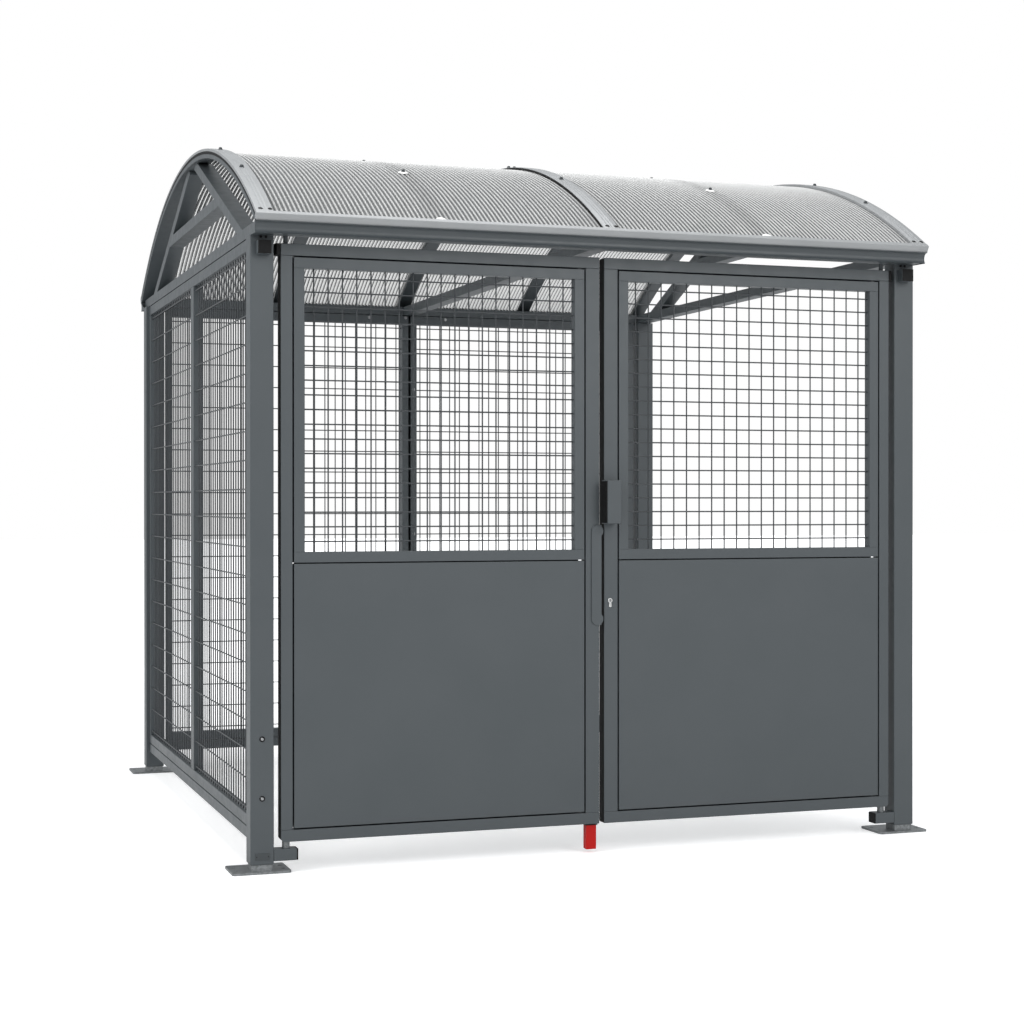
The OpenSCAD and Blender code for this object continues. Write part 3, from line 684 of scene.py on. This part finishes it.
f0, b0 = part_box("side_mesh_front"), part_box("side_mesh_back")
s0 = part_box("side_panel_frame")
framed("side_panel_frame", "side_panel_bars", ["side_mesh_front", "side_mesh_back"],
       [(s0[0].y, f0[0].y), (f0[1].y, b0[0].y), (b0[1].y, s0[1].y)], "shelter", 0)
for side in ("left", "right"):
    p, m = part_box("back_panel_frame_" + side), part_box("back_mesh_" + side)
    framed("back_panel_frame_" + side, "back_panel_bars_" + side, ["back_mesh_" + side],
           [(p[0].x, m[0].x), (m[1].x, p[1].x)], "shelter", 1)

# ---------- leaves ----------

TUBE_W, MEET_W = 40 * MM, 52 * MM   # rails and hinge stile, and the wider stile where the leaves meet
INFILL_W = 36 * MM
MITRE = 9 * MM                      # cut corner at the foot of the hinge stile
LIP, LIP_GAP = 17 * MM, 14 * MM     # strips behind the shadow joint: their width, and how far they stop short
CROSS_GAP = 7 * MM
EDGE_IN = 2 * MM                    # edge strip and seal are this much narrower than the leaf on each side
LEAF_WIRES, LEAF_FIRST = 19, 35 * MM

for side, s in (("left", 1), ("right", -1)):
    body = side + "_leaf"
    leaf, infill, mesh, panel = (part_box("%s_%s" % (side, part))
                                 for part in ("leaf_frame", "infill_frame", "leaf_mesh", "lower_panel"))
    # x measured from the hinge edge, so that both leaves share one description
    hinge, meet = (leaf[0].x, leaf[1].x) if s > 0 else (leaf[1].x, leaf[0].x)
    z0, z1, y0, y1 = leaf[0].z, leaf[1].z, leaf[0].y, leaf[1].y
    foot_z, head_z = z0 + TUBE_W, z1 - TUBE_W

    def block(xa, xb, za, zb, ya=y0, yb=y1):
        return ((min(xa, xb), ya, za), (max(xa, xb), yb, zb))

    tubes = [block(hinge, meet, head_z, z1),
             block(hinge, hinge + s * TUBE_W, foot_z, head_z),
             block(meet, meet - s * MEET_W, foot_z, head_z)]
    bars(side + "_leaf_tubes", tubes, GREY, body, radius=2.0 * MM,
         replaces=side + "_leaf_frame", record_slot="grey_paint")
    foot = [(hinge + s * MITRE, z0), (meet, z0), (meet, foot_z), (hinge, foot_z), (hinge, z0 + MITRE)]
    prism(side + "_leaf_bottom_rail", foot, y0, y1, GREY, body, radius=1.6 * MM)

    # strips behind the shadow joint, open at the corners, in a darkened copy of the grey coat: painted shade in the
    # joint
    edge_a, edge_b = hinge + s * TUBE_W, meet - s * MEET_W
    behind = y0 + 40 * MM
    cross = (infill[0].z + panel[1].z) / 2
    strips = []
    for edge, inward in ((edge_a, s), (edge_b, -s)):
        for za, zb in ((foot_z + LIP_GAP, cross - CROSS_GAP), (cross + CROSS_GAP, head_z - LIP_GAP)):
            strips.append(block(edge, edge + inward * LIP, za, zb, behind, y1))
    for za, zb in ((foot_z, foot_z + LIP), (head_z - LIP, head_z), (cross - LIP, cross + LIP)):
        strips.append(block(edge_a + s * LIP_GAP, edge_b - s * LIP_GAP, za, zb, behind, y1))
    bars(side + "_leaf_backing", strips, GREY_SHADED_RECESS, body, radius=0.6 * MM)

    # black strip down the hinge edge, painted shade where the post shades the leaf's side; and a seal on the meeting
    # edge of the leaf that closes last
    strip = block(hinge, hinge - s * 1.2 * MM, z0 + 12 * MM, head_z - 1 * MM, y0 + EDGE_IN, y1 - EDGE_IN)
    bars(side + "_leaf_hinge_edge_shade", [strip], BLACK, body, radius=0.3 * MM)
    if side == "right":
        strip = block(meet, meet + s * 0.8 * MM, z0 + 4 * MM, z1 - 4 * MM, y0 + EDGE_IN, y1 - EDGE_IN)
        bars("right_leaf_meeting_seal", [strip], BLACK, body, radius=0.2 * MM)

    # infill frame and its mesh
    (xa, ya, za), (xb, yb, zb) = infill
    ring = [((xa, ya, zb - INFILL_W), (xb, yb, zb)),
            ((xa, ya, za), (xb, yb, za + INFILL_W)),
            ((xa, ya, za + INFILL_W), (xa + INFILL_W, yb, zb - INFILL_W)),
            ((xb - INFILL_W, ya, za + INFILL_W), (xb, yb, zb - INFILL_W))]
    bars(side + "_infill_bars", ring, GREY, body, radius=1.2 * MM,
         replaces=side + "_infill_frame", record_slot="grey_paint")
    mid = (mesh[0].x + mesh[1].x) / 2
    us = [mid + (k - (LEAF_WIRES - 1) / 2) * GRID for k in range(LEAF_WIRES)]
    mesh_wires(side + "_leaf_mesh", body, 1, us, positions(mesh[0].z, mesh[1].z, GRID, LEAF_FIRST), -1)

# ---------- pieces of the front ----------

HINGE_X = 1.135         # of the leaves' pins, from the middle
STOP_CAP_T, ARM_CAP_T = 3 * MM, 5 * MM
CAP_IN = 0.5 * MM       # a plastic cap is this much smaller than its tube on each side
ARM_H = 40 * MM
PIN_R = 13 * MM

for side, s in (("left", -1), ("right", 1)):
    lo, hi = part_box("stop_block_" + side)
    cap_back = lo.y + STOP_CAP_T
    bars("stop_tube_" + side, [((lo.x, cap_back, lo.z), tuple(hi))], GREY, "shelter", radius=2 * MM,
         replaces="stop_block_" + side, record_slot="grey_paint")
    cap = ((lo.x + CAP_IN, lo.y, lo.z + CAP_IN), (hi.x - CAP_IN, cap_back, hi.z - CAP_IN))
    bars("stop_cap_" + side, [cap], BLACK, "shelter", radius=1.2 * MM)
    lo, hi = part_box("pivot_arm_" + side)
    arm_top = lo.z + ARM_H
    tube = ((lo.x + (ARM_CAP_T if s > 0 else 0), lo.y, lo.z), (hi.x - (ARM_CAP_T if s < 0 else 0), hi.y, arm_top))
    bars("pivot_arm_tube_" + side, [tube], GREY, "shelter", radius=2 * MM,
         replaces="pivot_arm_" + side, record_slot="grey_paint")
    end = hi.x - ARM_CAP_T if s < 0 else lo.x
    cap = ((end, lo.y + CAP_IN, lo.z + CAP_IN), (end + ARM_CAP_T, hi.y - CAP_IN, arm_top - CAP_IN))
    bars("pivot_arm_cap_" + side, [cap], BLACK, "shelter", radius=1.2 * MM)
    pin = [(0, 0), (PIN_R, 0), (PIN_R, hi.z - arm_top), (0, hi.z - arm_top)]
    foot = (s * HINGE_X, (lo.y + hi.y) / 2, arm_top)
    lathe("pivot_pin_" + side, pin, [(foot, (0, 0, 1))], ZINC, "shelter", sides=40)

lo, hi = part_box("handle_block")
bars("handle_shell", [((lo.x + 2.5 * MM, lo.y, lo.z), tuple(hi))], GREY, "right_leaf", radius=3 * MM,
     replaces="handle_block", record_slot="grey_paint")
# black block in the open left side of the handle shell: painted shade inside the shell
hollow_shade = ((lo.x, lo.y + 4 * MM, lo.z + 3 * MM), (lo.x + 6 * MM, hi.y - 1 * MM, hi.z - 3 * MM))
bars("handle_hollow_shade", [hollow_shade], BLACK, "right_leaf", radius=1 * MM)

# lock: a keyhole-shaped face, its round head over a narrower foot
HEAD_R, FOOT_R, PLUG_R = 8.5 * MM, 5 * MM, 5.6 * MM
TO_FRONT = (0, -1, 0)
lo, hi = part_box("lock_cylinder")
mid_x, key_z = (lo.x + hi.x) / 2, hi.z - HEAD_R


def arc(z, radius, start_deg, turn_deg, steps):
    """Points (x, z) of an arc of the lock's face."""
    turns = [math.radians(start_deg + turn_deg * k / steps) for k in range(steps + 1)]
    return [(mid_x + radius * math.cos(a), z + radius * math.sin(a)) for a in turns]


key = arc(key_z, HEAD_R, -58, 296, 32) + arc(lo.z + FOOT_R, FOOT_R, 180, 180, 8)
prism("lock_face", key, lo.y, hi.y, KEY, "right_leaf", radius=0.6 * MM,
      replaces="lock_cylinder", record_slot="galvanised")
plug = [(0, 0), (PLUG_R, 0), (PLUG_R, 0.8 * MM), (0, 0.8 * MM)]
lathe("lock_plug", plug, [((mid_x, lo.y, key_z), TO_FRONT)], SCREW, "right_leaf")
# black bar on the plug: painted shade of the keyway
slit = ((mid_x - 0.8 * MM, lo.y - 1.1 * MM, key_z - 4 * MM), (mid_x + 0.8 * MM, lo.y - 0.6 * MM, key_z + 4 * MM))
bars("lock_slot", [slit], BLACK, "right_leaf", radius=0.1 * MM)

# collar round the bolt, under the leaf
COLLAR_W, COLLAR_GAP, COLLAR_H = 4 * MM, 0.6 * MM, 5 * MM
lo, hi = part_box("floor_bolt")
leaf_z = low("left_leaf_frame").z
xa, xb, ya, yb = lo.x - COLLAR_W, hi.x + COLLAR_W, lo.y - COLLAR_GAP, hi.y + COLLAR_GAP
sides = [(xa, lo.y - COLLAR_W, xb, ya), (xa, yb, xb, hi.y + COLLAR_W),
         (xa, ya, lo.x - COLLAR_GAP, yb), (hi.x + COLLAR_GAP, ya, xb, yb)]
bars("bolt_collar", [((a, b, leaf_z - COLLAR_H), (c, d, leaf_z)) for a, b, c, d in sides], BLACK, "left_leaf",
     radius=0.5 * MM)

# bolts and screws of the front posts, screws of the nameplate
BOLT_Z = (0.456, 0.255)
bolts = [((-HALF_W + POST_W / 2, -HALF_D, z), TO_FRONT) for z in BOLT_Z]
washer = [(0, 0), (9.5 * MM, 0), (9.5 * MM, 1.6 * MM), (0, 1.8 * MM)]
lathe("post_bolt_rings", washer, bolts, BLACK, "shelter")
head = [(0, 1 * MM), (5.6 * MM, 1 * MM), (5.6 * MM, 3.4 * MM), (4 * MM, 5.4 * MM), (0, 6 * MM)]
lathe("post_bolt_heads", head, bolts, SCREW, "shelter")
screws = [((s * (HALF_W - d), -HALF_D, POST_TOP - 11 * MM), TO_FRONT) for s in (-1, 1) for d in (36 * MM, 54 * MM)]
head = [(0, 0), (4.5 * MM, 0), (4.5 * MM, 2 * MM), (3 * MM, 3.4 * MM), (0, 3.6 * MM)]
lathe("post_top_screws", head, screws, BLACK, "shelter", sides=16)
lo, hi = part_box("nameplate")
screws = [((x, lo.y, (lo.z + hi.z) / 2), TO_FRONT) for x in (lo.x + 5 * MM, hi.x - 5 * MM)]
head = [(0, 0), (1.9 * MM, 0), (1.9 * MM, 0.7 * MM), (1 * MM, 1.3 * MM), (0, 1.4 * MM)]
lathe("nameplate_screws", head, screws, BLACK, "shelter", sides=16)

# bolts on the back frames: three in the top rails, three down the stiles that meet at the middle
bolt = [(0, 0), (8 * MM, 0), (8 * MM, 1.4 * MM), (6 * MM, 1.6 * MM), (6 * MM, 5 * MM), (5 * MM, 6 * MM), (0, 6.2 * MM)]
lo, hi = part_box("back_panel_frame_left")
places = [(-0.2, hi.z - 12 * MM), (0.18, hi.z - 12 * MM), (-0.02, hi.z - 8 * MM),
          (0.02, 1.803), (0.02, 1.1), (0.02, 0.33)]
lathe("back_wall_bolts", bolt, [((x, lo.y, z), TO_FRONT) for x, z in places], SCREW, "shelter", sides=6)

# ---------- the frame's own nodes ----------

for name, ob in frame["nodes"].items():
    ob.data.materials.clear()
    sub = next((p for p in frame["record"]["subparts"] if p["node"] == name), None)
    slot_name = sub["material_slot"] if sub else "grey_paint"
    ob.data.materials.append(SLOT_MATERIAL.get(slot_name, GREY))

frame["nodes"]["nameplate"].data.materials[0] = DARK_CAP

# edge radius in millimetres by the start of a node's name
EDGE_R = {
    "post": 3.5, "side_base": 2.5, "back_base": 2.5, "back_top": 2.5, "truss": 2.0, "tie_beam": 2.0,
    "left_lower": 1.6, "right_lower": 1.6, "foot": 1.2, "floor_bolt": 2.0, "cover_plate": 1.0, "nameplate": 0.4,
    "top_pivot": 1.0, "left_top": 1.5, "right_top": 1.5,
}
for name, ob in frame["nodes"].items():
    for start, r in EDGE_R.items():
        if name.startswith(start):
            weld = ob.modifiers.new("weld", "WELD")
            weld.merge_threshold = 0.02 * MM
            soften(ob, r * MM, 2 if start in ("foot", "nameplate") else 3)

# ---------- floor, light, camera ----------

# the floor glows for the camera only, faintly near the shelter so that its shadow shows, fully far off like the
# white background
GLOW_NEAR, GLOW_FAR, GLOW_LEAST = 2.2, 7.0, 0.34

scene = bpy.context.scene
floor = bpy.data.objects.new("floor", bpy.data.meshes.new("floor"))
floor.data.from_pydata([(-40, -30, 0), (40, -30, 0), (40, 60, 0), (-40, 60, 0)], [], [(0, 1, 2, 3)])
scene.collection.objects.link(floor)
fs = Shader("pale_studio_floor")
fs.set(Base_Color=fs.blend(fs.noise(900, 2), "f2f2f2", "f6f6f6"), Roughness=0.9, IOR=1.3)
seen_by = fs.add("ShaderNodeLightPath")
away = fs.add("ShaderNodeVectorMath", {0: fs.place()}, operation="LENGTH").outputs["Value"]
fade = fs.add("ShaderNodeMapRange", {"Value": away, "From Min": GLOW_NEAR, "From Max": GLOW_FAR,
                                     "To Min": GLOW_LEAST, "To Max": 1.0}).outputs[0]
glow = fs.add("ShaderNodeMath", {0: seen_by.outputs["Is Camera Ray"], 1: fade}, operation="MULTIPLY")
fs.set(Emission_Color=linear("ffffff"), Emission_Strength=glow.outputs[0])
floor.data.materials.append(fs.mat)

world = bpy.data.worlds.new("studio")
scene.world = world
world.use_nodes = True
wt = world.node_tree
wt.nodes.clear()
out = wt.nodes.new("ShaderNodeOutputWorld")
mix = wt.nodes.new("ShaderNodeMixShader")
path = wt.nodes.new("ShaderNodeLightPath")
seen = wt.nodes.new("ShaderNodeBackground")
seen.inputs[0].default_value = (1, 1, 1, 1)
seen.inputs[1].default_value = 1.0
room = wt.nodes.new("ShaderNodeBackground")
room.inputs[0].default_value = linear("f4f7fa")
room.inputs[1].default_value = 0.62
wt.links.new(path.outputs["Is Camera Ray"], mix.inputs[0])
wt.links.new(room.outputs[0], mix.inputs[1])
wt.links.new(seen.outputs[0], mix.inputs[2])
wt.links.new(mix.outputs[0], out.inputs[0])


def area_light(name, at, aim, size, watts, colour="ffffff"):
    """Soft panel light."""
    data = bpy.data.lights.new(name, "AREA")
    data.shape = "SQUARE"
    data.size = size
    data.energy = watts
    data.color = linear(colour)[:3]
    ob = bpy.data.objects.new(name, data)
    ob.location = at
    ob.rotation_euler = (Vector(aim) - Vector(at)).to_track_quat("-Z", "Y").to_euler()
    scene.collection.objects.link(ob)


area_light("key_left", (-8, -4, 5.5), (0, 0, 1.2), 5, 430)
area_light("front_right", (3, -9, 5), (0, 0, 1.2), 5, 300)
area_light("top", (0, 0, 9), (0, 0, 2), 6, 400)

# focal length in pixels of the square picture, as fitted to the photo
FOCAL_PIXELS, PICTURE_PIXELS, SENSOR = 1993.7, 1024, 36
cam = bpy.data.objects.new("camera", bpy.data.cameras.new("camera"))
scene.collection.objects.link(cam)
scene.camera = cam
cam.data.lens = SENSOR * FOCAL_PIXELS / PICTURE_PIXELS
cam.data.sensor_width = SENSOR
cam.data.shift_x = -0.09
cam.data.shift_y = -0.0026
cam.data.clip_end = 100
cam.location = (-2.463, -8.083, 1.2553)
yaw, pitch = 0.3533, -0.0036
look = Vector((math.sin(yaw) * math.cos(pitch), math.cos(yaw) * math.cos(pitch), math.sin(pitch)))
cam.rotation_euler = look.to_track_quat("-Z", "Y").to_euler()
scene.view_settings.view_transform = "Standard"
